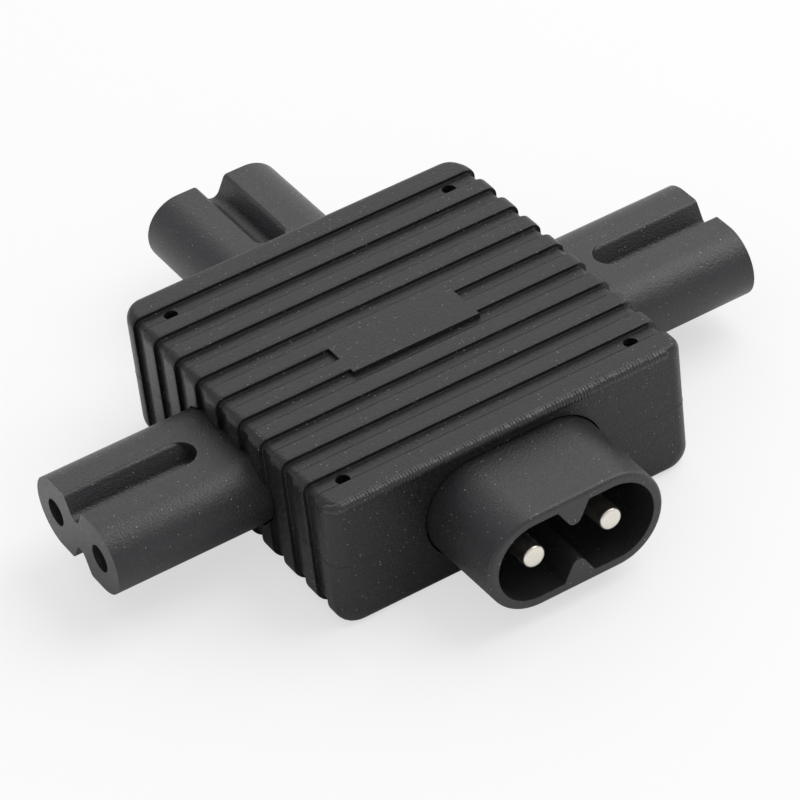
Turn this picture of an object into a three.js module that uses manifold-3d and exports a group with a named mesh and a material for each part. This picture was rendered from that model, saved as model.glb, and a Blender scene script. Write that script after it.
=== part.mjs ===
// Power cord splitter: one figure-8 inlet and three figure-8 outlets on a ribbed, overmoulded block.
// Millimetres, +Z up. The block stands on z = 0, its ribs run along x, and the inlet faces -y.
// The origin is the bottom centre of the whole splitter's footprint.
import * as THREE from 'three';
import { mergeVertices } from 'three/addons/utils/BufferGeometryUtils.js';
import Module from 'manifold-3d';

const wasm = await Module();
wasm.setup();

// Moulded block
const bodyWidth = 40;
const bodyDepth = 40.2;
const bodyHeight = 14.8;
const frontCornerRadius = 1.6;
const backCornerRadius = 2.9;
const sideTopRadius = 1.1;
const sideBottomRadius = 1.9;
const frontTopRadius = 0.5;
const backTopRadius = 1.1;
const endBottomRadius = 1;
const skin = 1.9;

// Lapped ribs: each has an upright wall facing the inlet side, and a hollow ramp up to the next one
const ribPitch = 4.02;
const ribShift = 0.58;
const grooveDepth = 0.5;
const rampLength = 1.95;
const rampPower = 3.5;
const ribEdgeLength = 0.42;
const ribEdgeDrop = 0.13;

// Flat label field over the middle ribs, left bare
const fieldLength = 14.4;
const fieldLip = 0.45;
const fieldOverlap = 0.5;

// Flash bead along the top front edge
const beadRadius = 0.42;
const beadProud = 0.26;
const beadRise = 0.03;
const beadLength = 36.6;

// Round marks left by the pins that held the core in the mould
const markSpread = 32.4;
const markDiameter = 1.46;
const markSetback = 0.98;

// Figure-8 outlet noses
const noseWidth = 15.8;
const noseHeight = 7.8;
const noseProjection = 16.5;
const noseEdgeRadius = 0.3;
const notchWidth = 3.4;
const notchDepth = 2.2;
const notchTipRadius = 0.9;
const notchLength = 13.4;
const boreDiameter = 2.9;
const noseFrontWall = 1.4;

// Figure-8 inlet shroud
const shroudProjection = 10.4;
const shroudWidth = 19.5;
const shroudHeight = 10.7;
const shroudDraft = 0.2;
const rimRadius = 0.4;
const cavityWidth = 17.3;
const cavityHeight = 8.6;
const cavityDepth = 11;
const keyWidth = 3.5;
const keyHeight = 2.2;
const keyTipRadius = 0.8;

// Pins and socket contacts
const pinPitch = 8.6;
const pinDiameter = 2.4;
const pinTipFlat = 1.7;
const pinTipLength = 0.4;
const pinRecess = 0.6;
const collarDiameter = 3.3;
const collarLength = 2.6;
const contactBore = 2.3;
const contactWall = 0.4;
const contactLength = 11;
const contactSlotAngle = 0.7;
const tailWidth = 1.8;
const tailThickness = 0.5;
const tailOverlap = 2.2;

// Core that carries the inserts, and the bus strips inside it
const coreWall = 1.2;
const flangeSideStep = 1.3;
const flangeTopStep = 0.2;
const flangeThickness = 1.5;
const flangeCornerRadius = 2;
const retainerThickness = 1;
const stripWidth = 3;
const stripThickness = 0.6;
const separatorThickness = 0.6;
const postDiameter = 3.6;
const postSetback = 8.5;
const spigotDiameter = 1.6;
const padSize = 3.6;

// Clearances
const seamGap = 0.15;
const slideGap = 0.3;
const seatGap = 0.2;
const solderGap = 0.1;

// Places that follow from the sizes
const midHeight = bodyHeight / 2;
const halfWidth = bodyWidth / 2;
const halfDepth = bodyDepth / 2;
const contactOuter = contactBore + 2 * contactWall;
const chamberDiameter = contactOuter + 2 * slideGap;
const flangeWidth = noseWidth + 2 * flangeSideStep;
const flangeHeight = noseHeight + 2 * flangeTopStep;
const tailFace = contactOuter / 2;
const stripLevel = tailFace + solderGap;
const coreHalfX = halfWidth - skin - seamGap;
const coreHalfY = halfDepth - skin - seamGap;
const insideFloor = midHeight - flangeHeight / 2 - seatGap;
const floorMiddle = (skin + insideFloor) / 2;
const postX = coreHalfX - postSetback;
const postY = coreHalfY - postSetback;

const ARC_STEPS = 14;
const BORE_STEPS = 20;

// A closed mesh as a solid, and a solid as a mesh again
function solid(geometry) {
  const bare = geometry.clone();
  bare.deleteAttribute('normal');
  bare.deleteAttribute('uv');
  const merged = mergeVertices(bare, 1e-4);
  const vertProperties = merged.attributes.position.array;
  const triVerts = new Uint32Array(merged.index.array);
  return new wasm.Manifold(new wasm.Mesh({ numProp: 3, vertProperties, triVerts }));
}

function geometryOf(made) {
  const { numProp, vertProperties, triVerts } = made.getMesh();
  const geometry = new THREE.BufferGeometry();
  geometry.setAttribute('position', new THREE.BufferAttribute(vertProperties, numProp));
  geometry.setIndex(new THREE.BufferAttribute(triVerts, 1));
  geometry.computeVertexNormals();
  return geometry;
}

const join = (first, ...others) => others.reduce((sum, next) => sum.add(solid(next)), solid(first));
const cut = (made, ...tools) => tools.reduce((left, tool) => left.subtract(solid(tool)), made);

// A skin drawn through rings of points that turn right-handed about the direction of travel
function loft(rings) {
  const count = rings[0].length;
  const positions = rings.flat().flatMap((point) => point.toArray());
  const index = [];
  for (let ring = 0; ring + 1 < rings.length; ring++) {
    for (let i = 0; i < count; i++) {
      const a = ring * count + i;
      const b = ring * count + ((i + 1) % count);
      index.push(a, b, b + count, a, b + count, a + count);
    }
  }
  const last = (rings.length - 1) * count;
  for (let i = 1; i + 1 < count; i++) {
    index.push(0, i + 1, i, last, last + i, last + i + 1);
  }
  const geometry = new THREE.BufferGeometry();
  geometry.setAttribute('position', new THREE.Float32BufferAttribute(positions, 3));
  geometry.setIndex(index);
  return geometry;
}

// Points of an arc, its end included
function arc(x, y, radius, from, to, steps) {
  return Array.from({ length: steps + 1 }, (_, k) => {
    const angle = from + ((to - from) * k) / steps;
    return new THREE.Vector2(x + radius * Math.cos(angle), y + radius * Math.sin(angle));
  });
}

// Outline with straight top and bottom and half-round ends
function stadium(width, height, steps = ARC_STEPS) {
  const radius = height / 2;
  const run = width / 2 - radius;
  const right = arc(run, 0, radius, -Math.PI / 2, Math.PI / 2, steps);
  const left = arc(-run, 0, radius, Math.PI / 2, (3 * Math.PI) / 2, steps);
  return [...right, ...left];
}

function roundedRectangle(width, height, radius, steps = 4) {
  const x = width / 2 - radius;
  const y = height / 2 - radius;
  const turn = Math.PI / 2;
  return [
    ...arc(x, y, radius, 0, turn, steps),
    ...arc(-x, y, radius, turn, 2 * turn, steps),
    ...arc(-x, -y, radius, 2 * turn, 3 * turn, steps),
    ...arc(x, -y, radius, 3 * turn, 4 * turn, steps),
  ];
}

// A V with a rounded tip that points down from a base line, closed by a block above the base
function vee(width, depth, tipRadius, base, blockHeight) {
  const half = width / 2;
  const tipCentre = base - depth + tipRadius;
  const reach = Math.hypot(half, base - tipCentre);
  const lean = Math.atan2(base - tipCentre, half) - Math.acos(tipRadius / reach);
  return [
    new THREE.Vector2(half, base),
    new THREE.Vector2(half, base + blockHeight),
    new THREE.Vector2(-half, base + blockHeight),
    new THREE.Vector2(-half, base),
    ...arc(0, tipCentre, tipRadius, -Math.PI - lean, lean, 8),
  ];
}

// An outline in (y, z) pushed along x, and one in (x, y) pushed up
const FROM_OUTLINE = new THREE.Matrix4().makeBasis(
  new THREE.Vector3(0, 1, 0),
  new THREE.Vector3(0, 0, 1),
  new THREE.Vector3(1, 0, 0),
);

function pushedOut(outline, from, to) {
  const options = { depth: to - from, bevelEnabled: false, curveSegments: BORE_STEPS };
  const geometry = new THREE.ExtrudeGeometry(new THREE.Shape(outline), options);
  return geometry.applyMatrix4(FROM_OUTLINE).translate(from, 0, 0);
}

function pushedUp(outline, from, to) {
  const options = { depth: to - from, bevelEnabled: false };
  return new THREE.ExtrudeGeometry(new THREE.Shape(outline), options).translate(0, 0, from);
}

function block(xFrom, xTo, yFrom, yTo, zFrom, zTo) {
  const geometry = new THREE.BoxGeometry(xTo - xFrom, yTo - yFrom, zTo - zFrom);
  return geometry.translate((xFrom + xTo) / 2, (yFrom + yTo) / 2, (zFrom + zTo) / 2);
}

function rodAlongX(diameter, from, to, y = 0) {
  const geometry = new THREE.CylinderGeometry(diameter / 2, diameter / 2, to - from, BORE_STEPS);
  return geometry.rotateZ(-Math.PI / 2).translate((from + to) / 2, y, 0);
}

function rodUpright(diameter, from, to, x, y) {
  const geometry = new THREE.CylinderGeometry(diameter / 2, diameter / 2, to - from, 16);
  return geometry.rotateX(Math.PI / 2).translate(x, y, (from + to) / 2);
}

// The four ports, each described along its own outward axis
const outlets = [
  { side: 'right', turn: 0, half: halfWidth, coreHalf: coreHalfX },
  { side: 'back', turn: Math.PI / 2, half: halfDepth, coreHalf: coreHalfY },
  { side: 'left', turn: Math.PI, half: halfWidth, coreHalf: coreHalfX },
];
const inlet = { turn: -Math.PI / 2, half: halfDepth, coreHalf: coreHalfY };

const atPort = (port, geometry) => geometry.rotateZ(port.turn).translate(0, 0, midHeight);

// How far an edge of a given radius has fallen away at a distance in from the end face
const fallAt = (radius, distance) =>
  distance >= radius ? 0 : radius - Math.sqrt(radius ** 2 - (radius - distance) ** 2);

// Cross-section of the block at one place along y, sunk by the depth of a groove there
function blockRing(y, sunk) {
  const fromFront = y + halfDepth;
  const fromBack = halfDepth - y;
  const fromEnd = Math.min(fromFront, fromBack);
  const cornerFall = Math.max(
    fallAt(frontCornerRadius, fromFront), fallAt(backCornerRadius, fromBack));
  const half = halfWidth - cornerFall - sunk;
  const topFall = Math.max(fallAt(frontTopRadius, fromFront), fallAt(backTopRadius, fromBack));
  const top = bodyHeight - topFall - sunk;
  const bottom = fallAt(endBottomRadius, fromEnd) + sunk;
  const topRadius = sideTopRadius - sunk;
  const bottomRadius = sideBottomRadius - sunk;
  const turn = Math.PI / 2;
  const outline = [
    ...arc(half - topRadius, top - topRadius, topRadius, 0, turn, 4),
    ...arc(topRadius - half, top - topRadius, topRadius, turn, 2 * turn, 4),
    ...arc(bottomRadius - half, bottom + bottomRadius, bottomRadius, 2 * turn, 3 * turn, 5),
    ...arc(half - bottomRadius, bottom + bottomRadius, bottomRadius, 3 * turn, 4 * turn, 5),
  ];
  return outline.map((point) => new THREE.Vector3(point.x, y, point.y));
}

// Places of the groove walls, counted from the back
function grooveWalls() {
  const count = Math.round(bodyDepth / ribPitch) - 1;
  return Array.from({ length: count }, (_, k) => ribShift + ((count - 1) / 2 - k) * ribPitch);
}

// Stations along the block: the rounded ends and, for each groove, the rib's edge, its wall and the ramp
function blockStations() {
  const stations = [];
  const ends = [[frontCornerRadius, -1], [frontTopRadius, -1], [backCornerRadius, 1], [backTopRadius, 1]];
  for (const [radius, end] of ends) {
    for (let k = 0; k <= 5; k++) {
      const inFromEnd = radius * (1 - Math.cos((k * Math.PI) / 10));
      stations.push({ y: end * (halfDepth - inFromEnd), sunk: 0 });
    }
  }
  for (const wall of grooveWalls()) {
    for (const share of [1, 0.4, 0]) {
      stations.push({ y: wall + share * ribEdgeLength, sunk: ribEdgeDrop * (1 - share) ** 2 });
    }
    stations.push({ y: wall, sunk: grooveDepth });
    for (const share of [0.45, 0.7, 0.87, 1]) {
      stations.push({ y: wall - share * rampLength, sunk: grooveDepth * (1 - share ** rampPower) });
    }
  }
  stations.sort((one, other) => other.y - one.y || one.sunk - other.sunk);
  return stations.filter(
    ({ y, sunk }, k) => k === 0 || y < stations[k - 1].y - 1e-3 || sunk > stations[k - 1].sunk + 1e-3,
  );
}

function portOpening(port) {
  const stop = port.half + beadProud + 1;
  if (port === inlet) {
    const width = shroudWidth + 2 * shroudDraft + 2 * seamGap;
    const height = shroudHeight + 2 * shroudDraft + 2 * seamGap;
    return atPort(port, pushedOut(stadium(width, height), port.half - skin - seamGap, stop));
  }
  const outline = stadium(noseWidth + 2 * seamGap, noseHeight + 2 * seamGap);
  return atPort(port, pushedOut(outline, port.half - skin - seamGap, stop));
}

// Round hole down to the core, in the groove in front of a rib's wall
function mouldPinMark(x, wall) {
  return rodUpright(markDiameter, bodyHeight - skin - 1, bodyHeight + 1, x, wall - markSetback);
}

function moulding() {
  const walls = grooveWalls();
  const middle = Math.floor((walls.length - 1) / 2);
  const fieldBack = walls[middle] + fieldOverlap;
  const fieldFront = walls[middle] - ribPitch - fieldLip;
  const half = fieldLength / 2;
  const field = block(-half, half, fieldFront, fieldBack, bodyHeight - skin, bodyHeight);
  const bead = new THREE.CapsuleGeometry(beadRadius, beadLength - 2 * beadRadius, 3, 12);
  bead.rotateZ(Math.PI / 2);
  bead.translate(0, beadRadius - beadProud - halfDepth, bodyHeight - beadRadius + beadRise);
  const rings = blockStations().map(({ y, sunk }) => blockRing(y, sunk));
  const outside = join(loft(rings), field, bead);
  const roomX = coreHalfX + seamGap;
  const roomY = coreHalfY + seamGap;
  const room = block(-roomX, roomX, -roomY, roomY, skin, bodyHeight - skin);
  const marks = [-1, 1].flatMap((side) =>
    [walls[0], walls.at(-1)].map((wall) => mouldPinMark((side * markSpread) / 2, wall)),
  );
  return cut(outside, room, ...[...outlets, inlet].map(portOpening), ...marks);
}

// Figure-8 nose with a rear flange, keying notches and two chambers for the contacts
function nose(port) {
  const face = port.half + noseProjection;
  const wallInside = port.coreHalf - coreWall - solderGap;
  const rear = wallInside - flangeThickness;
  const ring = (x, inset) =>
    stadium(noseWidth - 2 * inset, noseHeight - 2 * inset).map((p) => new THREE.Vector3(x, p.x, p.y));
  const edge = [0, 30, 60, 90].map((degrees) => {
    const angle = THREE.MathUtils.degToRad(degrees);
    const back = noseEdgeRadius * (1 - Math.sin(angle));
    return ring(face - back, noseEdgeRadius * (1 - Math.cos(angle)));
  });
  const flange = roundedRectangle(flangeWidth, flangeHeight, flangeCornerRadius);
  const shape = join(loft([ring(rear, 0), ...edge]), pushedOut(flange, rear, wallInside));
  const veeOutline = vee(notchWidth, notchDepth, notchTipRadius, noseHeight / 2, 1);
  const veeCut = solid(pushedOut(veeOutline, face - notchLength, face + 1));
  const endRadius = notchWidth / 2;
  const endCentre = face - notchLength + endRadius;
  const slotOutline = [
    ...arc(endCentre, 0, endRadius, Math.PI / 2, (3 * Math.PI) / 2, 12),
    new THREE.Vector2(face + 1, -endRadius),
    new THREE.Vector2(face + 1, endRadius),
  ];
  const upperNotch = veeCut.intersect(solid(pushedUp(slotOutline, 0, noseHeight)));
  const upper = geometryOf(upperNotch);
  const tools = [upper, upper.clone().rotateX(Math.PI)];
  for (const y of [-pinPitch / 2, pinPitch / 2]) {
    tools.push(rodAlongX(boreDiameter, rear, face + 1, y));
    tools.push(rodAlongX(chamberDiameter, rear - 1, face - noseFrontWall, y));
  }
  return cut(shape, ...tools);
}

// Plate that closes the rear of a nose, with a slot for each contact's tail
function retainer(port) {
  const front = port.coreHalf - coreWall - solderGap - flangeThickness - solderGap;
  const plate = pushedOut(
    roundedRectangle(flangeWidth, flangeHeight, flangeCornerRadius),
    front - retainerThickness,
    front,
  );
  const slots = [-1, 1].map((side) => {
    const y = (side * pinPitch) / 2;
    const half = tailWidth / 2 + slideGap;
    const sign = tailSign(port, side);
    const outer = sign * (tailFace + slideGap);
    const inner = sign * (tailFace - tailThickness - slideGap);
    const [low, high] = [Math.min(outer, inner), Math.max(outer, inner)];
    return block(front - retainerThickness - 1, front + 1, y - half, y + half, low, high);
  });
  return cut(solid(plate), ...slots);
}

// Live tails lie low and neutral tails lie high; live contacts are those nearest the inlet's live pin
function polarityOf(port, side) {
  const place = new THREE.Vector2(port.half, (side * pinPitch) / 2);
  place.rotateAround(new THREE.Vector2(), port.turn);
  const across = Math.abs(Math.sin(port.turn)) > 0.5 ? place.x : place.y;
  return across < 0 ? 'live' : 'neutral';
}

const tailSign = (port, side) => (polarityOf(port, side) === 'live' ? -1 : 1);

// Distance from the centre at which a port's tails end on the strip
const tailEnd = (port) =>
  port.coreHalf - coreWall - flangeThickness - retainerThickness - 3 * solderGap - tailOverlap;

// Rolled spring contact with a lengthwise slot, and a flat tail that runs back to its strip
function socketContact(port) {
  const front = port.half + noseProjection - noseFrontWall - solderGap;
  const outer = arc(0, 0, contactOuter / 2, Math.PI / 2 + contactSlotAngle / 2,
    Math.PI / 2 - contactSlotAngle / 2 + 2 * Math.PI, BORE_STEPS);
  const inner = arc(0, 0, contactBore / 2, Math.PI / 2 - contactSlotAngle / 2 + 2 * Math.PI,
    Math.PI / 2 + contactSlotAngle / 2, BORE_STEPS);
  const sleeve = pushedOut([...outer, ...inner], front - contactLength, front);
  const half = tailWidth / 2;
  const tail = block(tailEnd(port), front - contactLength + 1, -half, half,
    -tailFace, tailThickness - tailFace);
  return join(sleeve, tail);
}

// Shroud of the inlet: tapered tube with two keys, a floor that holds the pins and a rear flange
function shroud() {
  const rim = inlet.half + shroudProjection;
  const root = inlet.half - skin;
  const wallInside = inlet.coreHalf - coreWall - solderGap;
  const rear = wallInside - flangeThickness;
  const ring = (x, inset) => {
    const draft = (shroudDraft * Math.max(rim - x, 0)) / (rim - root);
    const grow = 2 * (draft - inset);
    const outline = stadium(shroudWidth + grow, shroudHeight + grow);
    return outline.map((p) => new THREE.Vector3(x, p.x, p.y));
  };
  const edge = [0, 30, 60, 90].map((degrees) => {
    const angle = THREE.MathUtils.degToRad(degrees);
    return ring(rim - rimRadius * (1 - Math.sin(angle)), rimRadius * (1 - Math.cos(angle)));
  });
  const neck = pushedOut(stadium(noseWidth, noseHeight), rear, (root + inlet.half) / 2);
  const flange = pushedOut(
    roundedRectangle(flangeWidth, flangeHeight, flangeCornerRadius), rear, wallInside);
  const outside = join(loft([ring(root, 0), ...edge]), neck, flange);
  const floor = rim - cavityDepth;
  const hollow = cut(outside, pushedOut(stadium(cavityWidth, cavityHeight), floor, rim + 1));
  const keyRoot = (shroudHeight - cavityHeight) / 4;
  const keyOutline = vee(keyWidth, keyHeight, keyTipRadius, cavityHeight / 2, keyRoot);
  const key = pushedOut(keyOutline, floor - 0.5, rim);
  let made = hollow.add(solid(key)).add(solid(key.clone().rotateX(Math.PI)));
  for (const y of [-pinPitch / 2, pinPitch / 2]) {
    const bore = rodAlongX(pinDiameter + 2 * solderGap, rear - 1, floor + 1, y);
    const seat = rodAlongX(collarDiameter + 2 * solderGap, rear - 1, rear + collarLength + solderGap, y);
    made = cut(made, bore, seat);
  }
  return made;
}

// Turned pin with a chamfered tip and a collar, flattened behind the collar into a tail
function inletPin() {
  const rear = inlet.coreHalf - coreWall - solderGap - flangeThickness;
  const tip = inlet.half + shroudProjection - pinRecess;
  const radius = pinDiameter / 2;
  const collar = collarDiameter / 2;
  const profile = [
    [0, rear],
    [collar, rear],
    [collar, rear + collarLength],
    [radius, rear + collarLength],
    [radius, tip - pinTipLength],
    [(radius + pinTipFlat / 2) / 2 + 0.08, tip - pinTipLength / 3],
    [pinTipFlat / 2, tip],
    [0, tip],
  ];
  const turned = new THREE.LatheGeometry(profile.map(([x, y]) => new THREE.Vector2(x, y)), BORE_STEPS);
  turned.rotateZ(-Math.PI / 2);
  const half = tailWidth / 2;
  const tail = block(tailEnd(inlet), rear + 1, -half, half, -tailFace, tailThickness - tailFace);
  return join(turned, tail);
}

// Half of the core: an open shell with its share of the port necks, four posts and three pads that
// its strip rests on. The tray stands below mid height; the lid is made the same way and turned over.
const postPlaces = [-1, 1].flatMap((x) => [-1, 1].map((y) => [x * postX, y * postY]));

function coreHalf(padX, padY, isTray) {
  const outline = roundedRectangle(2 * coreHalfX, 2 * coreHalfY, 1.5);
  const inside = roundedRectangle(2 * (coreHalfX - coreWall), 2 * (coreHalfY - coreWall), 0.6);
  const shell = cut(solid(pushedUp(outline, skin, midHeight)),
    pushedUp(inside, insideFloor, midHeight + 1));
  const openings = [...outlets, inlet].map((port) => {
    const neck = stadium(noseWidth + 2 * seamGap, noseHeight + 2 * seamGap);
    return atPort(port, pushedOut(neck, port.coreHalf - coreWall - 1, port.coreHalf + 1));
  });
  let made = cut(shell, ...openings);
  const postTop = midHeight - separatorThickness / 2;
  for (const [x, y] of postPlaces) {
    made = made.add(solid(rodUpright(postDiameter, floorMiddle, postTop, x, y)));
    if (isTray) {
      const spigotTop = midHeight + separatorThickness / 2 + 1;
      made = made.add(solid(rodUpright(spigotDiameter, postTop - 0.5, spigotTop, x, y)));
    } else {
      const socket = spigotDiameter + 2 * slideGap;
      made = cut(made, rodUpright(socket, postTop - 2, postTop + 1, x, y));
    }
  }
  const rest = midHeight - stripLevel - stripThickness;
  const bar = pinPitch / 2;
  for (const [x, y] of [[bar, bar], [bar, -postY], [-postX, bar]]) {
    const half = padSize / 2;
    const [atX, atY] = [padX * x, padY * y];
    const pad = block(atX - half, atX + half, atY - half, atY + half, floorMiddle, rest);
    made = made.add(solid(pad));
  }
  return made;
}

// Stamped strip: two crossed bars that meet the four tails of one polarity
function busStrip(side) {
  const bar = (side * pinPitch) / 2;
  const half = stripWidth / 2;
  const reachX = tailEnd(outlets[0]) + tailOverlap - slideGap;
  const reachY = tailEnd(inlet) + tailOverlap - slideGap;
  const low = side < 0 ? midHeight - stripLevel - stripThickness : midHeight + stripLevel;
  const high = low + stripThickness;
  return join(
    block(-reachX, reachX, bar - half, bar + half, low, high),
    block(bar - half, bar + half, -reachY, reachY, low, high),
  );
}

// Sheet that keeps the two strips apart, held on the posts
function separator() {
  const spanX = 2 * (tailEnd(outlets[0]) + tailOverlap - 3 * slideGap);
  const spanY = 2 * (tailEnd(inlet) + tailOverlap - 3 * slideGap);
  const low = midHeight - separatorThickness / 2;
  const high = midHeight + separatorThickness / 2;
  const sheet = solid(pushedUp(roundedRectangle(spanX, spanY, 1.5), low, high));
  const hole = spigotDiameter + 2 * slideGap;
  return cut(sheet, ...postPlaces.map(([x, y]) => rodUpright(hole, low - 1, high + 1, x, y)));
}

// Finishes
const finish = (color, roughness, metalness = 0) => ({ color, roughness, metalness });
const softBlack = finish(0x3d3e3b, 0.62);
const nylonBlack = finish(0x47474a, 0.55);
const coreBlack = finish(0x30302f, 0.5);
const fibreRed = finish(0x8a3b2a, 0.7);
const nickel = finish(0xcfcabd, 0.28, 1);
const brass = finish(0xb9975a, 0.35, 1);

function piece(name, made, look) {
  const mesh = new THREE.Mesh(geometryOf(made), new THREE.MeshStandardMaterial(look));
  mesh.name = name;
  return mesh;
}

// The assembly stands with its footprint's centre over the origin
const splitter = new THREE.Group();
const assembly = new THREE.Group();
assembly.position.y = (shroudProjection - noseProjection) / 2;
splitter.add(assembly);

assembly.add(piece('body_overmould', moulding(), softBlack));
assembly.add(piece('core_tray', coreHalf(-1, -1, true), coreBlack));
const lid = piece('core_lid', coreHalf(1, -1, false), coreBlack);
lid.rotation.x = Math.PI;
lid.position.z = bodyHeight;
assembly.add(lid);
assembly.add(piece('live_strip', busStrip(-1), brass));
assembly.add(piece('neutral_strip', busStrip(1), brass));
assembly.add(piece('strip_separator', separator(), fibreRed));

for (const port of outlets) {
  const group = new THREE.Group();
  group.position.z = midHeight;
  group.rotation.z = port.turn;
  group.add(piece(`outlet_nose_${port.side}`, nose(port), nylonBlack));
  group.add(piece(`contact_retainer_${port.side}`, retainer(port), coreBlack));
  for (const side of [-1, 1]) {
    const name = `socket_contact_${port.side}_${polarityOf(port, side)}`;
    const contact = piece(name, socketContact(port), brass);
    contact.position.y = (side * pinPitch) / 2;
    contact.rotation.x = tailSign(port, side) < 0 ? 0 : Math.PI;
    group.add(contact);
  }
  assembly.add(group);
}

const inletGroup = new THREE.Group();
inletGroup.position.z = midHeight;
inletGroup.rotation.z = inlet.turn;
inletGroup.add(piece('inlet_shroud', shroud(), nylonBlack));
for (const side of [-1, 1]) {
  const pin = piece(`inlet_pin_${polarityOf(inlet, side)}`, inletPin(), nickel);
  pin.position.y = (side * pinPitch) / 2;
  pin.rotation.x = tailSign(inlet, side) < 0 ? 0 : Math.PI;
  inletGroup.add(pin);
}
assembly.add(inletGroup);

export default splitter;
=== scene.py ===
import math
import bmesh
import bpy
from mathutils import Matrix, Vector, noise


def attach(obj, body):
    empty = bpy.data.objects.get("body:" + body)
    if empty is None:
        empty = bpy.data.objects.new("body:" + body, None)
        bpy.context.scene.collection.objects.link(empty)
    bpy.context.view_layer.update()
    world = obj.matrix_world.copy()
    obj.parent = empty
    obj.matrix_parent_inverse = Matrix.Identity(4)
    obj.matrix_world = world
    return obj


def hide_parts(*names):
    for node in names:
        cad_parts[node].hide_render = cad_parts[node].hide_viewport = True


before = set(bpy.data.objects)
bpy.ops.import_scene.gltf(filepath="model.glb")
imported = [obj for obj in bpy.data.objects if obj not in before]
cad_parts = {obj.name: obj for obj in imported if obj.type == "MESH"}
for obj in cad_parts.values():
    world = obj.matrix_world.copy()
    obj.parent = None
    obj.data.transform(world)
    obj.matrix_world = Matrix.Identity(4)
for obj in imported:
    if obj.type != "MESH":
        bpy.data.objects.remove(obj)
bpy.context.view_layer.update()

# The studio: a table of white card in a white tent, with a large soft box overhead on the right
# and another behind it. The camera looks down over the left front corner with a long lens.
TABLE_HALF = 3
CARD_WHITE, CARD_GLOW = 0.88, 0.62
view = bpy.data.objects.new("view", bpy.data.cameras.new("view"))
bpy.context.scene.collection.objects.link(view)
view.data.sensor_width = 36
view.data.lens = 201.2
view.data.clip_start = 0.05
view.data.clip_end = 20
view.matrix_world = Matrix((
    (0.84200728, 0.39674708, -0.36553453, -0.16031),
    (-0.53064841, 0.48711763, -0.69363440, -0.30625),
    (-0.09713911, 0.77801553, 0.62068980, 0.27683),
    (0, 0, 0, 1),
))
bpy.context.scene.camera = view
bpy.context.scene.view_settings.view_transform = "Standard"


def link_nodes(tree, pairs):
    for source, target in pairs:
        tree.links.new(source, target)


def soft_box(name, place, width, height, power, tint):
    """A rectangular lamp that faces the object."""
    lamp = bpy.data.objects.new(name, bpy.data.lights.new(name, "AREA"))
    bpy.context.scene.collection.objects.link(lamp)
    lamp.data.shape = "RECTANGLE"
    lamp.data.size = width
    lamp.data.size_y = height
    lamp.data.energy = power
    lamp.data.color = tint
    lamp.location = place
    lamp.rotation_euler = (-Vector(place)).to_track_quat("-Z", "Y").to_euler()


soft_box("box_overhead", (0.6, -0.1, 0.85), 0.8, 0.8, 6, (1, 1, 0.98))
soft_box("box_behind", (0.6, 0.85, 0.75), 1.3, 0.9, 2.6, (1, 1, 0.96))

daylight = bpy.data.worlds.new("daylight")
bpy.context.scene.world = daylight
daylight.use_nodes = True
sky = daylight.node_tree.nodes["Background"]
sky.inputs["Color"].default_value = (0.96, 0.96, 1, 1)
sky.inputs["Strength"].default_value = 0.64

table_mesh = bmesh.new()
bmesh.ops.create_grid(table_mesh, x_segments=1, y_segments=1, size=TABLE_HALF)
table = bpy.data.objects.new("table", bpy.data.meshes.new("table"))
table_mesh.to_mesh(table.data)
table_mesh.free()
bpy.context.scene.collection.objects.link(table)

white_card = bpy.data.materials.new("white_card")
white_card.use_nodes = True
nodes = white_card.node_tree.nodes
card_shader = nodes["Principled BSDF"]
card_shader.inputs["Base Color"].default_value = (CARD_WHITE, CARD_WHITE, CARD_WHITE, 1)
card_shader.inputs["Roughness"].default_value = 0.9
card_glow = nodes.new("ShaderNodeEmission")
card_glow.inputs["Color"].default_value = (1, 1, 1, 1)
card_mix = nodes.new("ShaderNodeMixShader")
card_path = nodes.new("ShaderNodeLightPath")
card_share = nodes.new("ShaderNodeMath")
card_share.operation = "MULTIPLY"
card_share.inputs[1].default_value = CARD_GLOW
link_nodes(white_card.node_tree, [
    (card_path.outputs["Is Camera Ray"], card_share.inputs[0]),
    (card_share.outputs[0], card_mix.inputs["Fac"]),
    (card_shader.outputs["BSDF"], card_mix.inputs[1]),
    (card_glow.outputs["Emission"], card_mix.inputs[2]),
    (card_mix.outputs["Shader"], nodes["Material Output"].inputs["Surface"]),
])
table.data.materials.append(white_card)

# Inside lie the rolled contacts and stamped strips of brass, the hard plastic core that holds
# the inserts, and the sheet of fibre that keeps the strips apart. They have their shapes from
# the fixed model and take their finishes here.
MM = 0.001


def group_sockets(group, inputs, outputs):
    for name, kind, value in inputs:
        socket = group.interface.new_socket(name, in_out="INPUT", socket_type=kind)
        socket.default_value = value
    for name, kind in outputs:
        group.interface.new_socket(name, in_out="OUTPUT", socket_type=kind)


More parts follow.
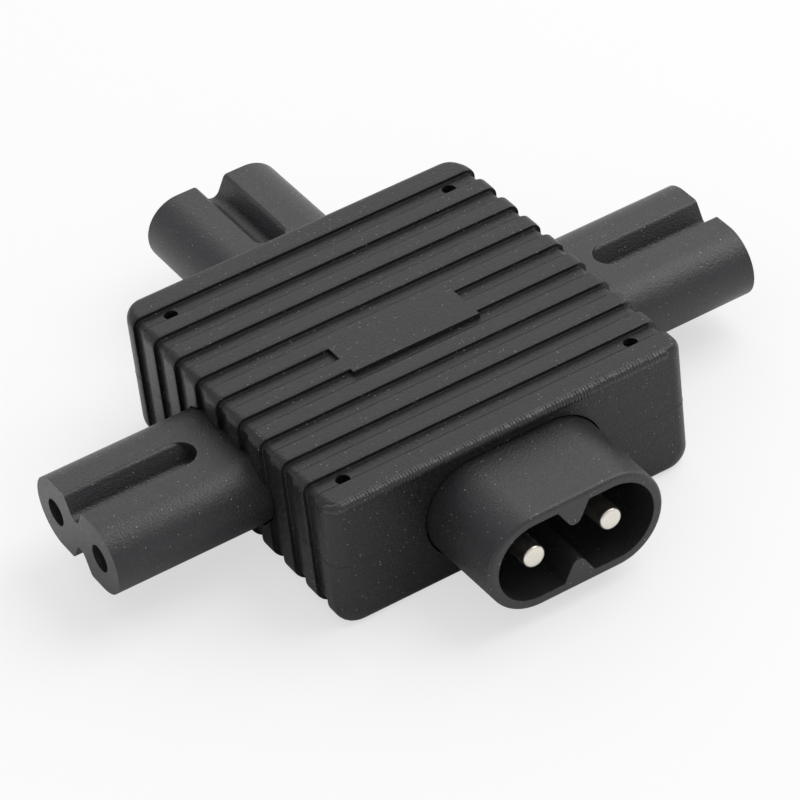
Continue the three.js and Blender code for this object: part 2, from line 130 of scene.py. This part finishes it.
def moulded_grain_group():
    """Spark-eroded grain of a mould: a fine height, a slow tone over the piece and small scuffs."""
    group = bpy.data.node_groups.new("moulded_grain", "ShaderNodeTree")
    group_sockets(group, [
        ("Grain", "NodeSocketFloat", 5000),
        ("Patches", "NodeSocketFloat", 160),
    ], [("Height", "NodeSocketFloat"), ("Tone", "NodeSocketFloat"), ("Scuffs", "NodeSocketFloat")])
    nodes = group.nodes
    given = nodes.new("NodeGroupInput")
    result = nodes.new("NodeGroupOutput")
    place = nodes.new("ShaderNodeTexCoord")
    fine = nodes.new("ShaderNodeTexNoise")
    fine.inputs["Detail"].default_value = 3
    fine.inputs["Roughness"].default_value = 0.65
    slow = nodes.new("ShaderNodeTexNoise")
    slow.inputs["Detail"].default_value = 4
    scuffs = nodes.new("ShaderNodeTexNoise")
    scuffs.inputs["Scale"].default_value = 900
    scuffs.inputs["Detail"].default_value = 6
    scuffs.inputs["Roughness"].default_value = 0.75
    spread = nodes.new("ShaderNodeMapRange")
    spread.inputs["From Min"].default_value = 0.56
    spread.inputs["From Max"].default_value = 0.78
    link_nodes(group, [
        (place.outputs["Object"], fine.inputs["Vector"]),
        (place.outputs["Object"], slow.inputs["Vector"]),
        (place.outputs["Object"], scuffs.inputs["Vector"]),
        (given.outputs["Grain"], fine.inputs["Scale"]),
        (given.outputs["Patches"], slow.inputs["Scale"]),
        (scuffs.outputs["Fac"], spread.inputs["Value"]),
        (fine.outputs["Fac"], result.inputs["Height"]),
        (slow.outputs["Fac"], result.inputs["Tone"]),
        (spread.outputs["Result"], result.inputs["Scuffs"]),
    ])
    return group


def dust_and_glint_group():
    """Dust and painted glints: small light dots, only some of them kept, and a fainter powder between
    them, standing both for dust and for glints off the grain.
    """
    group = bpy.data.node_groups.new("dust_and_glint_specks", "ShaderNodeTree")
    group_sockets(group, [
        ("Scale", "NodeSocketFloat", 1200),
        ("Kept", "NodeSocketFloat", 0.1),
        ("Size", "NodeSocketFloat", 0.2),
    ], [("Mask", "NodeSocketFloat")])
    nodes = group.nodes
    given = nodes.new("NodeGroupInput")
    result = nodes.new("NodeGroupOutput")
    place = nodes.new("ShaderNodeTexCoord")
    cells = nodes.new("ShaderNodeTexVoronoi")
    near = nodes.new("ShaderNodeMath")
    near.operation = "LESS_THAN"
    parts = nodes.new("ShaderNodeSeparateColor")
    chosen = nodes.new("ShaderNodeMath")
    chosen.operation = "LESS_THAN"
    both = nodes.new("ShaderNodeMath")
    both.operation = "MULTIPLY"
    fine_dust_and_glints = nodes.new("ShaderNodeTexNoise")
    fine_dust_and_glints.inputs["Scale"].default_value = 9000
    fine_dust_and_glints.inputs["Detail"].default_value = 1
    grains = nodes.new("ShaderNodeMapRange")
    grains.inputs["From Min"].default_value = 0.62
    grains.inputs["From Max"].default_value = 0.8
    grains.inputs["To Max"].default_value = 0.22
    total = nodes.new("ShaderNodeMath")
    total.operation = "MAXIMUM"
    link_nodes(group, [
        (place.outputs["Object"], cells.inputs["Vector"]),
        (given.outputs["Scale"], cells.inputs["Scale"]),
        (cells.outputs["Distance"], near.inputs[0]),
        (given.outputs["Size"], near.inputs[1]),
        (cells.outputs["Color"], parts.inputs["Color"]),
        (parts.outputs["Red"], chosen.inputs[0]),
        (given.outputs["Kept"], chosen.inputs[1]),
        (near.outputs[0], both.inputs[0]),
        (chosen.outputs[0], both.inputs[1]),
        (place.outputs["Object"], fine_dust_and_glints.inputs["Vector"]),
        (fine_dust_and_glints.outputs["Fac"], grains.inputs["Value"]),
        (both.outputs[0], total.inputs[0]),
        (grains.outputs["Result"], total.inputs[1]),
        (total.outputs[0], result.inputs["Mask"]),
    ])
    return group


moulded_grain = moulded_grain_group()
dust_and_glint_specks = dust_and_glint_group()


def black_plastic(name, dark, light, roughness, grain, depth, dust_and_glints, specular=0.5):
    """Moulded plastic: tone patches, grained bump depth mm high, scuffed roughness, and light specks
    of dust and painted glints.
    """
    material = bpy.data.materials.new(name)
    material.use_nodes = True
    tree = material.node_tree
    nodes = tree.nodes
    shader = nodes["Principled BSDF"]
    shader.inputs["Specular IOR Level"].default_value = specular
    surface = nodes.new("ShaderNodeGroup")
    surface.node_tree = moulded_grain
    surface.inputs["Grain"].default_value = grain
    surface.inputs["Patches"].default_value = 140
    specks = nodes.new("ShaderNodeGroup")
    specks.node_tree = dust_and_glint_specks
    specks.inputs["Scale"].default_value = 2600
    specks.inputs["Kept"].default_value = dust_and_glints
    specks.inputs["Size"].default_value = 0.13
    colour = nodes.new("ShaderNodeMix")
    colour.data_type = "RGBA"
    colour.inputs["A"].default_value = (*dark, 1)
    colour.inputs["B"].default_value = (*light, 1)
    dust_and_glint_colour = nodes.new("ShaderNodeMix")
    dust_and_glint_colour.data_type = "RGBA"
    # Light specks in the base colour: partly dust, partly painted glints off the grained surface.
    dust_and_glint_colour.inputs["B"].default_value = (0.34, 0.33, 0.31, 1)
    rough = nodes.new("ShaderNodeMapRange")
    rough.inputs["To Min"].default_value = roughness - 0.07
    rough.inputs["To Max"].default_value = roughness + 0.07
    bump = nodes.new("ShaderNodeBump")
    bump.inputs["Distance"].default_value = depth * MM
    bump.inputs["Strength"].default_value = 1
    link_nodes(tree, [
        (surface.outputs["Tone"], colour.inputs["Factor"]),
        (colour.outputs["Result"], dust_and_glint_colour.inputs["A"]),
        (specks.outputs["Mask"], dust_and_glint_colour.inputs["Factor"]),
        (dust_and_glint_colour.outputs["Result"], shader.inputs["Base Color"]),
        (surface.outputs["Scuffs"], rough.inputs["Value"]),
        (rough.outputs["Result"], shader.inputs["Roughness"]),
        (surface.outputs["Height"], bump.inputs["Height"]),
        (bump.outputs["Normal"], shader.inputs["Normal"]),
    ])
    return material


def polished_metal(name, colour, roughness, grain):
    """Plated or plain metal: fine tool marks, cloudy tarnish and uneven polish."""
    material = bpy.data.materials.new(name)
    material.use_nodes = True
    tree = material.node_tree
    nodes = tree.nodes
    shader = nodes["Principled BSDF"]
    shader.inputs["Metallic"].default_value = 1
    surface = nodes.new("ShaderNodeGroup")
    surface.node_tree = moulded_grain
    surface.inputs["Grain"].default_value = grain
    surface.inputs["Patches"].default_value = 900
    tint = nodes.new("ShaderNodeMix")
    tint.data_type = "RGBA"
    tint.inputs["A"].default_value = (*[c * 0.82 for c in colour], 1)
    tint.inputs["B"].default_value = (*colour, 1)
    rough = nodes.new("ShaderNodeMapRange")
    rough.inputs["To Min"].default_value = roughness - 0.06
    rough.inputs["To Max"].default_value = roughness + 0.1
    bump = nodes.new("ShaderNodeBump")
    bump.inputs["Distance"].default_value = 0.004 * MM
    link_nodes(tree, [
        (surface.outputs["Tone"], tint.inputs["Factor"]),
        (tint.outputs["Result"], shader.inputs["Base Color"]),
        (surface.outputs["Tone"], rough.inputs["Value"]),
        (rough.outputs["Result"], shader.inputs["Roughness"]),
        (surface.outputs["Height"], bump.inputs["Height"]),
        (bump.outputs["Normal"], shader.inputs["Normal"]),
    ])
    return material


def coat(piece, material):
    piece.data.materials.clear()
    piece.data.materials.append(material)


brass = polished_metal("brass", (0.62, 0.44, 0.2), 0.36, 5000)
core_plastic = black_plastic(
    "core_plastic", (0.010, 0.010, 0.010), (0.018, 0.018, 0.018), 0.5, 4000, 0.01, 0)
fibre = black_plastic("fibre_sheet", (0.16, 0.03, 0.02), (0.24, 0.05, 0.03), 0.7, 2500, 0.02, 0)
for words, material in (
    (("socket_contact", "live_strip", "neutral_strip"), brass),
    (("core_", "contact_retainer"), core_plastic),
    (("strip_separator",), fibre),
):
    for name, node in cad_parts.items():
        if name.startswith(words):
            coat(node, material)

# The three outlet noses: figure-8 inserts of hard black plastic, moulded before the block.
# Keying notches run down their upper and lower sides, and two bores lead to the contacts.
# Sizes are in millimetres about the point where the noses' axes cross, CROSSING_Y from the origin.
HALF_WIDTH, HALF_DEPTH, HEIGHT, SKIN = 20.0, 20.1, 14.8, 1.9
MID_HEIGHT, CROSSING_Y = HEIGHT / 2, -3.05
NOSE_WIDTH, NOSE_HEIGHT, NOSE_REACH, NOSE_ROOT, NOSE_EDGE = 15.8, 7.8, 16.5, 3, 0.3
NOTCH_WIDTH, NOTCH_DEPTH, NOTCH_TIP, NOTCH_LENGTH, NOTCH_SHOULDER = 3.4, 2.2, 0.9, 13.4, 0.6
NOTCH_END_RADIUS = NOTCH_WIDTH / 2 + 0.2
BORE_DIAMETER, CHAMBER_DIAMETER, FRONT_WALL, PIN_PITCH = 2.9, 3.7, 1.4, 8.6
OUTLETS = {"right": (0, HALF_WIDTH), "back": (math.pi / 2, HALF_DEPTH), "left": (math.pi, HALF_WIDTH)}
PAST = 1


def arc(x, y, radius, start, end, steps):
    """Points of an arc in degrees, its end included."""
    angles = [math.radians(start + (end - start) * k / steps) for k in range(steps + 1)]
    return [(x + radius * math.cos(a), y + radius * math.sin(a)) for a in angles]


def circle(x, y, radius, count):
    """Points of a full circle, its first not repeated."""
    return arc(x, y, radius, 0, 360 - 360 / count, count - 1)


def oval(width, height, steps=24):
    """Outline with straight top and bottom and half-round ends."""
    radius = height / 2
    run = width / 2 - radius
    return arc(run, 0, radius, -90, 90, steps) + arc(-run, 0, radius, 90, 270, steps)


def vee(width, depth, tip, base, above, shoulder=0, steps=12):
    """A V with a rounded tip that points down from the base line, and rounded shoulders."""
    half = width / 2
    centre = base - depth + tip
    reach = math.hypot(half, base - centre)
    lean = math.degrees(math.atan2(base - centre, half) - math.acos(tip / reach))
    spread = half + shoulder * math.tan(math.radians(90 + lean) / 2)
    right = [(half, base)]
    if shoulder:
        right = arc(spread, base - shoulder, shoulder, 90, 180 + lean, 6)[::-1]
    right += [(spread, base + above)]
    left = [(-y, z) for y, z in reversed(right)]
    return right + left + arc(0, centre, tip, -180 - lean, lean, steps)


def skin_through(rings):
    """A closed skin: a grid wrapped round the rings, joined at its seam and filled at both ends."""
    mesh = bmesh.new()
    across, along = len(rings[0]), len(rings)
    bmesh.ops.create_grid(mesh, x_segments=across, y_segments=along - 1, size=1)
    for vert in mesh.verts:
        i = round((vert.co.x + 1) / 2 * across)
        k = round((vert.co.y + 1) / 2 * (along - 1))
        vert.co = rings[k][i % across]
    bmesh.ops.remove_doubles(mesh, verts=mesh.verts, dist=1e-4)
    bmesh.ops.holes_fill(mesh, edges=mesh.edges, sides=0)
    bmesh.ops.recalc_face_normals(mesh, faces=mesh.faces)
    return mesh


def piece_from(mesh, name, turn=0, height=0):
    """The mesh, drawn in millimetres about the noses' crossing, as an object in the part's frame."""
    place = Matrix.Scale(MM, 4) @ Matrix.Translation((0, CROSSING_Y, height))
    bmesh.ops.transform(mesh, matrix=place @ Matrix.Rotation(turn, 4, "Z"), verts=mesh.verts)
    piece = bpy.data.objects.new(name, bpy.data.meshes.new(name))
    mesh.to_mesh(piece.data)
    mesh.free()
    bpy.context.scene.collection.objects.link(piece)
    return piece


def pushed(outline, start, end, name, turn):
    """An outline in (y, z) pushed out from start to end along the insert's own axis."""
    rings = [[(x, y, z) for y, z in outline] for x in (start, end)]
    return piece_from(skin_through(rings), name, turn, MID_HEIGHT)


def mirrored_down(piece):
    """A twin of the piece on the other side of mid height."""
    twin = piece.copy()
    twin.data = piece.data.copy()
    bpy.context.scene.collection.objects.link(twin)
    flip = Matrix.Translation((0, 0, 2 * MID_HEIGHT * MM)) @ Matrix.Scale(-1, 4, (0, 0, 1))
    twin.data.transform(flip)
    twin.data.flip_normals()
    return twin


def bake_modifiers(piece):
    """Give the piece the mesh that its modifiers make."""
    shaped = piece.evaluated_get(bpy.context.evaluated_depsgraph_get())
    done = bpy.data.meshes.new_from_object(shaped)
    piece.modifiers.clear()
    old, piece.data = piece.data, done
    bpy.data.meshes.remove(old)
    piece.data.name = piece.name


def carve(piece, cutters, operation="DIFFERENCE"):
    """Cut with pieces that reach PAST the faces they cut, and drop those pieces."""
    for cutter in cutters:
        step = piece.modifiers.new("carve", "BOOLEAN")
        step.operation = operation
        step.solver = "EXACT"
        step.object = cutter
    bake_modifiers(piece)
    for cutter in cutters:
        bpy.data.objects.remove(cutter)


def soften(piece, width, segments=3, angle=38):
    """Round every edge sharper than the angle."""
    step = piece.modifiers.new("rounding", "BEVEL")
    step.limit_method = "ANGLE"
    step.angle_limit = math.radians(angle)
    step.width = width * MM
    step.segments = segments
    step.profile = 0.5
    step.use_clamp_overlap = True
    bake_modifiers(piece)


def smooth(piece, angle=30):
    """Shade evenly, apart from edges sharper than the angle."""
    piece.data.shade_smooth()
    piece.data.set_sharp_from_angle(angle=math.radians(angle))
    step = piece.modifiers.new("even_normals", "WEIGHTED_NORMAL")
    step.keep_sharp = True
    step.weight = 80


insert_black = black_plastic(
    "insert_black", (0.011, 0.011, 0.0122), (0.019, 0.019, 0.021), 0.42, 4800, 0.07, 0.16, 0.6)
for side, (turn, half) in OUTLETS.items():
    face = half + NOSE_REACH
    rear = half - SKIN - NOSE_ROOT
    nose = pushed(oval(NOSE_WIDTH, NOSE_HEIGHT), rear, face, f"nose_{side}", turn)
    valley = vee(NOTCH_WIDTH, NOTCH_DEPTH, NOTCH_TIP, NOSE_HEIGHT / 2, 1.5 * PAST, NOTCH_SHOULDER)
    notch = pushed(valley, face - NOTCH_LENGTH - PAST, face + PAST, "notch", turn)
    plan = arc(face - NOTCH_LENGTH + NOTCH_END_RADIUS, 0, NOTCH_END_RADIUS, 90, 270, 20)
    plan += [(face + 2 * PAST, -NOTCH_END_RADIUS), (face + 2 * PAST, NOTCH_END_RADIUS)]
    rings = [[(x, y, z) for x, y in plan] for z in (0, NOSE_HEIGHT)]
    round_end = piece_from(skin_through(rings), "round_end", turn, MID_HEIGHT)
    carve(notch, [round_end], "INTERSECT")
    carve(nose, [notch, mirrored_down(notch)])
    soften(nose, NOSE_EDGE)
    holes = []
    for y in (-PIN_PITCH / 2, PIN_PITCH / 2):
        bore = circle(y, 0, BORE_DIAMETER / 2, 40)
        chamber = circle(y, 0, CHAMBER_DIAMETER / 2, 40)
        holes.append(pushed(bore, face - FRONT_WALL - 0.3 * PAST, face + PAST, "bore", turn))
        holes.append(pushed(chamber, rear - PAST, face - FRONT_WALL, "chamber", turn))
    carve(nose, holes)
    smooth(nose)
    coat(nose, insert_black)
    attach(nose, "root")
    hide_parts(f"outlet_nose_{side}")

# The inlet shroud: a keyed oval tube of the same hard plastic, a little wider at its root.
# It is moulded with a floor, in which the two pins are held.
SHROUD_WIDTH, SHROUD_HEIGHT, SHROUD_REACH, SHROUD_DRAFT = 19.5, 10.7, 10.4, 0.2
RIM_RADIUS, INNER_EDGE = 0.45, 0.12
CAVITY_WIDTH, CAVITY_HEIGHT, CAVITY_DEPTH = 17.3, 8.6, 11.0
KEY_WIDTH, KEY_HEIGHT, KEY_TIP = 3.5, 2.2, 0.8
INLET_TURN = -math.pi / 2
rim = HALF_DEPTH + SHROUD_REACH
root = HALF_DEPTH - SKIN
stations = [(root, 0)]
for degrees in range(0, 91, 15):
    a = math.radians(degrees)
    stations.append((rim - RIM_RADIUS * (1 - math.sin(a)), RIM_RADIUS * (1 - math.cos(a))))
rings = []
for x, inset in stations:
    draft = SHROUD_DRAFT * max(rim - x, 0) / (rim - root)
    grow = 2 * (draft - inset)
    rings.append([(x, y, z) for y, z in oval(SHROUD_WIDTH + grow, SHROUD_HEIGHT + grow, 32)])
shroud = piece_from(skin_through(rings), "inlet_shell", INLET_TURN, MID_HEIGHT)
floor_x = rim - CAVITY_DEPTH
cavity = pushed(oval(CAVITY_WIDTH, CAVITY_HEIGHT, 32), floor_x, rim + PAST, "cavity", INLET_TURN)
key = pushed(vee(KEY_WIDTH, KEY_HEIGHT, KEY_TIP, CAVITY_HEIGHT / 2, PAST / 2),
             floor_x - PAST / 2, rim + 2 * PAST, "key", INLET_TURN)
carve(cavity, [key, mirrored_down(key)])
carve(shroud, [cavity])
soften(shroud, INNER_EDGE, 2)
smooth(shroud)
coat(shroud, insert_black)
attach(shroud, "root")
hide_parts("inlet_shroud")

# The two inlet pins: turned from brass rod, rounded at the tip and nickel plated.
# They stand in the shroud's floor, where the plastic is moulded round them.
PIN_RADIUS, PIN_TIP_RADIUS, PIN_ROUNDING, PIN_RECESS, PIN_ROOT = 1.2, 0.82, 0.35, 0.6, 2
nickel = polished_metal("nickel_plate", (0.95, 0.91, 0.8), 0.3, 6000)
tip = rim - PIN_RECESS
rounding = arc(tip - PIN_ROUNDING, PIN_RADIUS - PIN_ROUNDING, PIN_ROUNDING, 90, 25, 5)
profile = [(floor_x - PIN_ROOT, 0), (floor_x - PIN_ROOT, PIN_RADIUS)] + rounding
profile += [(tip, PIN_TIP_RADIUS), (tip, 0)]
for pole, y in (("live", -PIN_PITCH / 2), ("neutral", PIN_PITCH / 2)):
    mesh = bmesh.new()
    points = [mesh.verts.new((along, 0, out)) for along, out in profile]
    edges = [mesh.edges.new(pair) for pair in zip(points, points[1:])]
    bmesh.ops.spin(mesh, geom=points + edges, cent=(0, 0, 0), axis=(1, 0, 0), dvec=(0, 0, 0),
                   angle=2 * math.pi, steps=48, use_merge=True, use_duplicate=False)
    bmesh.ops.remove_doubles(mesh, verts=mesh.verts, dist=1e-4)
    bmesh.ops.recalc_face_normals(mesh, faces=mesh.faces)
    bmesh.ops.translate(mesh, vec=(0, y, 0), verts=mesh.verts)
    pin = piece_from(mesh, f"pin_{pole}", INLET_TURN, MID_HEIGHT)
    smooth(pin)
    coat(pin, nickel)
    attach(pin, "root")
    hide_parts(f"inlet_pin_{pole}")

# The moulded block: soft black plastic injected round the core and the four inserts, with lapped
# ribs that wrap it and a flat plate among them on top. The mould closes at mid height, where it
# leaves a thin line.
FRONT_CORNER_RADIUS, BACK_CORNER_RADIUS, SIDE_TOP_RADIUS, SIDE_BOTTOM_RADIUS = 1.6, 2.9, 1.1, 1.9
FRONT_TOP_RADIUS, BACK_TOP_RADIUS, END_BOTTOM_RADIUS, ROUND_STEPS = 0.5, 1.1, 1.0, 8
RIB_PITCH, RIB_SHIFT, RIB_EDGE_LENGTH, RIB_EDGE_DROP = 4.02, 0.73, 0.4, 0.05
GROOVE_WALLS = [RIB_SHIFT + (4 - k) * RIB_PITCH for k in range(9)]
GROOVE_FLOOR = ((0.002, 0.42), (0.03, 0.46), (0.08, 0.48), (0.5, 0.475), (0.9, 0.462), (1.2, 0.445),
                (1.42, 0.425), (1.55, 0.405), (1.63, 0.375), (2.06, 0.02), (2.1, 0.004), (2.16, 0))
FLOOR_DEPTH = GROOVE_FLOOR[3][1]
PLATE_HALF, PLATE_LIP, PLATE_END_SLOPE, PLATE_LIP_SLOPE = 7.2, 0.6, 0.04, 0.02
COVERED_GROOVE, HALF_COVERED_GROOVE = 4, 5
SIDE_GUIDE, TOP_GUIDE = 1, 6
PARTING_HALF, PARTING_GROWTH = 0.05, 1.0014
SEAM = 0.15


def fallen(radius, distance):
    """How far a corner of this radius lies back at a distance from where it begins."""
    if distance >= radius:
        return 0.0
    return radius - math.sqrt(max(radius ** 2 - (radius - distance) ** 2, 0))


def block_ring(y, sunk, plate_sunk):
    """Cross-section at y, sunk by the groove there, or by another depth on the plate."""
    from_front, from_back = y + HALF_DEPTH, HALF_DEPTH - y
    from_end = min(from_front, from_back)
    side_fall = max(fallen(FRONT_CORNER_RADIUS, from_front), fallen(BACK_CORNER_RADIUS, from_back))
    top_fall = max(fallen(FRONT_TOP_RADIUS, from_front), fallen(BACK_TOP_RADIUS, from_back))
    half = HALF_WIDTH - side_fall - sunk
    top = HEIGHT - top_fall - sunk
    bottom = fallen(END_BOTTOM_RADIUS, from_end) + sunk
    top_radius, bottom_radius = SIDE_TOP_RADIUS - sunk, SIDE_BOTTOM_RADIUS - sunk
    right = arc(half - bottom_radius, bottom + bottom_radius, bottom_radius, -90, 0, ROUND_STEPS)
    right += [(half, MID_HEIGHT - SIDE_GUIDE), (half, MID_HEIGHT + SIDE_GUIDE)]
    right += arc(half - top_radius, top - top_radius, top_radius, 0, 90, ROUND_STEPS)
    plate_end = PLATE_HALF + PLATE_END_SLOPE
    right += [(plate_end + TOP_GUIDE, top), (plate_end, top)]
    right += [(PLATE_HALF - PLATE_END_SLOPE, HEIGHT - plate_sunk - top_fall)]
    outline = right + [(-x, z) for x, z in reversed(right)]
    return [(x, y, z) for x, z in outline]


def block_stations():
    """Places along y with the depth there and on the plate, from front to back."""
    stations = []
    for radius, end in ((FRONT_CORNER_RADIUS, -1), (FRONT_TOP_RADIUS, -1),
                        (BACK_CORNER_RADIUS, 1), (BACK_TOP_RADIUS, 1)):
        for k in range(ROUND_STEPS + 1):
            inward = radius * (1 - math.cos(math.radians(90 * k / ROUND_STEPS)))
            stations.append((end * (HALF_DEPTH - inward), 0, 0))
    for number, wall in enumerate(GROOVE_WALLS):
        covered = number == COVERED_GROOVE
        half_covered = number == HALF_COVERED_GROOVE
        cut = [(wall + share * RIB_EDGE_LENGTH, RIB_EDGE_DROP * (1 - share) ** 2)
               for share in (1, 0.7, 0.45, 0.25, 0.1, 0)]
        cut += [(wall - distance, depth) for distance, depth in GROOVE_FLOOR]
        for y, depth in cut:
            held = covered or (half_covered and y > wall - PLATE_LIP)
            stations.append((y, depth, 0 if held else depth))
        if half_covered:
            stations.append((wall - PLATE_LIP + PLATE_LIP_SLOPE, FLOOR_DEPTH, 0))
            stations.append((wall - PLATE_LIP - PLATE_LIP_SLOPE, FLOOR_DEPTH, FLOOR_DEPTH))
    stations.sort(key=lambda station: (station[0], -station[1]))
    kept = stations[:1]
    for station in stations[1:]:
        if station[0] - kept[-1][0] > 1e-3 or abs(station[1] - kept[-1][1]) > 1e-3:
            kept.append(station)
    return kept


block_mesh = skin_through([block_ring(*station) for station in block_stations()])
for level in (MID_HEIGHT - PARTING_HALF, MID_HEIGHT, MID_HEIGHT + PARTING_HALF):
    bmesh.ops.bisect_plane(
        block_mesh, geom=block_mesh.verts[:] + block_mesh.edges[:] + block_mesh.faces[:],
        dist=1e-5, plane_co=(0, 0, level), plane_no=(0, 0, 1))
parting = [v for v in block_mesh.verts if abs(v.co.z - MID_HEIGHT) < PARTING_HALF / 2]
bmesh.ops.scale(block_mesh, vec=(PARTING_GROWTH, PARTING_GROWTH, 1), verts=parting)
block = piece_from(block_mesh, "moulded_block")
pockets = []
for turn, half in OUTLETS.values():
    outline = oval(NOSE_WIDTH + 2 * SEAM, NOSE_HEIGHT + 2 * SEAM)
    pockets.append(pushed(outline, half - SKIN, half + 2 * PAST, "pocket", turn))
shroud_seam = 2 * (SHROUD_DRAFT + SEAM)
outline = oval(SHROUD_WIDTH + shroud_seam, SHROUD_HEIGHT + shroud_seam)
pockets.append(pushed(outline, root, HALF_DEPTH + 2 * PAST, "pocket", INLET_TURN))

# The four blind holes in its top are left by pins of the mould, which held the core in place
# while the plastic was injected.
MARK_X, MARK_DIAMETER, MARK_SETBACK, MARK_DEPTH = 16.2, 1.46, 1.13, SKIN + 0.5
for x in (-MARK_X, MARK_X):
    for wall in (GROOVE_WALLS[0], GROOVE_WALLS[-1]):
        outline = circle(x, wall - MARK_SETBACK, MARK_DIAMETER / 2, 24)
        rings = [[(px, py, z) for px, py in outline] for z in (HEIGHT - MARK_DEPTH, HEIGHT + PAST)]
        pockets.append(piece_from(skin_through(rings), "mark"))
carve(block, pockets)
smooth(block)
soft_black = black_plastic(
    "soft_black", (0.005, 0.0054, 0.0046), (0.010, 0.0106, 0.009), 0.42, 3600, 0.065, 0.2, 0.44)
coat(block, soft_black)
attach(block, "root")
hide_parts("body_overmould")

# The bead along the top front edge is flash squeezed out where two blocks of the mould met.
# Trimming left fine cross ridges on it; round the left corner it runs out as a smooth lip.
BEAD_RADIUS, BEAD_RIGHT_END, BEAD_INSET, BEAD_DROP, BEAD_STEP = 0.6, 18.3, 0.34, 0.55, 0.05
BEAD_TAPER, BEAD_TIP, BEAD_THINNING, BEAD_WAVES, BEAD_CRUMBS = 0.5, 0.02, 0.25, 0.06, 0.07
RIDGE_PITCH, RIDGE_HEIGHT, RIDGE_FADE = 0.34, 0.05, 1.5
corner_x, corner_y = FRONT_CORNER_RADIUS - HALF_WIDTH, FRONT_CORNER_RADIUS - HALF_DEPTH
corner_run = FRONT_CORNER_RADIUS - BEAD_INSET
straight = BEAD_RIGHT_END - corner_x
bead_length = straight + corner_run * math.pi / 2
bead_rings = []
for k in range(round(bead_length / BEAD_STEP) + 1):
    run = min(k * BEAD_STEP, bead_length)
    turned = max(run - straight, 0) / corner_run
    outward = Vector((-math.sin(turned), -math.cos(turned), 0))
    centre = Vector((BEAD_RIGHT_END - min(run, straight), corner_y, 0)) + outward * corner_run
    from_end = min(run, bead_length - run)
    taper = min(1, math.sqrt(from_end / BEAD_TAPER) + BEAD_TIP) * (1 - BEAD_THINNING * turned)
    wobble = 1.5 * noise.noise(Vector((run * 0.9, 0, 0)))
    strength = 0.5 + noise.noise(Vector((run * 1.7, 3, 0)))
    ridges = math.sin(2 * math.pi * run / RIDGE_PITCH + wobble) * strength
    rough = 0 if turned else min(1, (straight - run) / RIDGE_FADE)
    ring = []
    for across, up in circle(0, 0, 1, 16):
        uneven = BEAD_WAVES * noise.noise(Vector((run * 1.1, across * 1.4, up * 1.4)))
        uneven += rough * RIDGE_HEIGHT * ridges
        uneven += rough * BEAD_CRUMBS * noise.noise(Vector((run * 6, across * 3, up * 3)))
        radius = BEAD_RADIUS * taper * (1 + uneven)
        level = Vector((0, 0, radius * up + HEIGHT - BEAD_DROP))
        ring.append(centre + outward * radius * across + level)
    bead_rings.append(ring)
bead = piece_from(skin_through(bead_rings), "front_edge_bead")
smooth(bead, 60)
# The flash is the block's own plastic, but its colour is lighter here: a painted highlight along the
# bead.
coat(bead, black_plastic(
    "flash_painted_highlight", (0.014, 0.014, 0.014), (0.022, 0.022, 0.022), 0.36, 2600, 0.08, 0.1))
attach(bead, "root")
